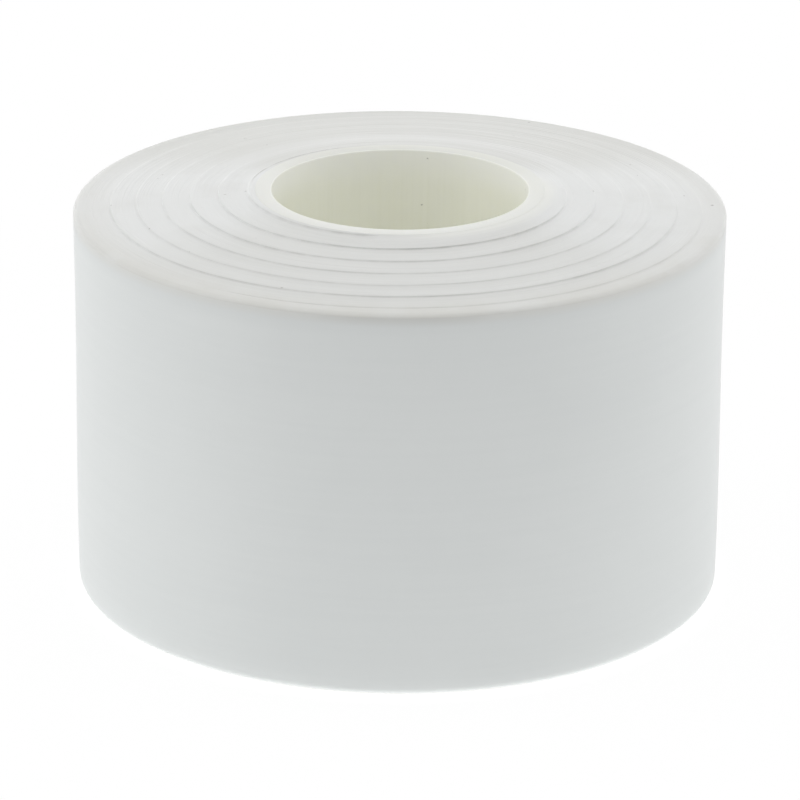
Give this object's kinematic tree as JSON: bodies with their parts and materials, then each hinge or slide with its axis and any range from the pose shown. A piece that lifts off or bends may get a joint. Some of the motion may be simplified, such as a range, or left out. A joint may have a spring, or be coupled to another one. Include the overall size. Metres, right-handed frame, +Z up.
{
  "type": "roll of electrical tape",
  "caption": "Roll of white electrical tape wound on a plastic core tube, with coned end faces that carry a spiral knife mark, and a free end that peels off the roll as a bending strip.",
  "frame": {"origin": "centre of the lower end face, on the roll's axis", "axes": "+Z up along the roll's axis, -Y towards the viewer of the picture, +Y towards the free end"},
  "size_m": [0.0634, 0.0636, 0.0397],
  "materials": {
    "tape": "satin white vinyl film",
    "core_plastic": "natural cream moulded plastic, slightly translucent"
  },
  "bodies": {
    "roll": {"core_tube": "core_plastic", "tape_winding": "tape"},
    "free_end_root": {"free_end_root": "tape"},
    "free_end_01": {"free_end_01": "tape"},
    "free_end_02": {"free_end_02": "tape"},
    "free_end_03": {"free_end_03": "tape"},
    "free_end_04": {"free_end_04": "tape"},
    "free_end_05": {"free_end_05": "tape"},
    "free_end_06": {"free_end_06": "tape"}
  },
  "joints": [
    {"name": "unwind", "type": "hinge", "parent": "roll", "child": "free_end_root", "pos_m": [0, 0, 0.019], "axis": [0, 0, -1], "continuous": true},
    {"name": "peel", "type": "hinge", "parent": "free_end_root", "child": "free_end_01", "pos_m": [0.02484, 0.02007, 0.019], "axis": [0, 0, -1], "range_deg": [0, 40]},
    {"name": "bend_02", "type": "hinge", "parent": "free_end_01", "child": "free_end_02", "pos_m": [0.0171, 0.02697, 0.019], "axis": [0, 0, -1], "range_deg": [0, 22]},
    {"name": "bend_03", "type": "hinge", "parent": "free_end_02", "child": "free_end_03", "pos_m": [0.00756, 0.03103, 0.019], "axis": [0, 0, -1], "range_deg": [0, 22]},
    {"name": "bend_04", "type": "hinge", "parent": "free_end_03", "child": "free_end_04", "pos_m": [-0.00278, 0.03182, 0.019], "axis": [0, 0, -1], "range_deg": [0, 22]},
    {"name": "bend_05", "type": "hinge", "parent": "free_end_04", "child": "free_end_05", "pos_m": [-0.01283, 0.02925, 0.019], "axis": [0, 0, -1], "range_deg": [0, 22]},
    {"name": "bend_06", "type": "hinge", "parent": "free_end_05", "child": "free_end_06", "pos_m": [-0.02152, 0.02359, 0.019], "axis": [0, 0, -1], "range_deg": [0, 22]}
  ],
  "couplings": [
    {"joint": "bend_02", "follows": "peel", "ratio": 0.55},
    {"joint": "bend_03", "follows": "peel", "ratio": 0.55},
    {"joint": "bend_04", "follows": "peel", "ratio": 0.55},
    {"joint": "bend_05", "follows": "peel", "ratio": 0.55},
    {"joint": "bend_06", "follows": "peel", "ratio": 0.55}
  ]
}
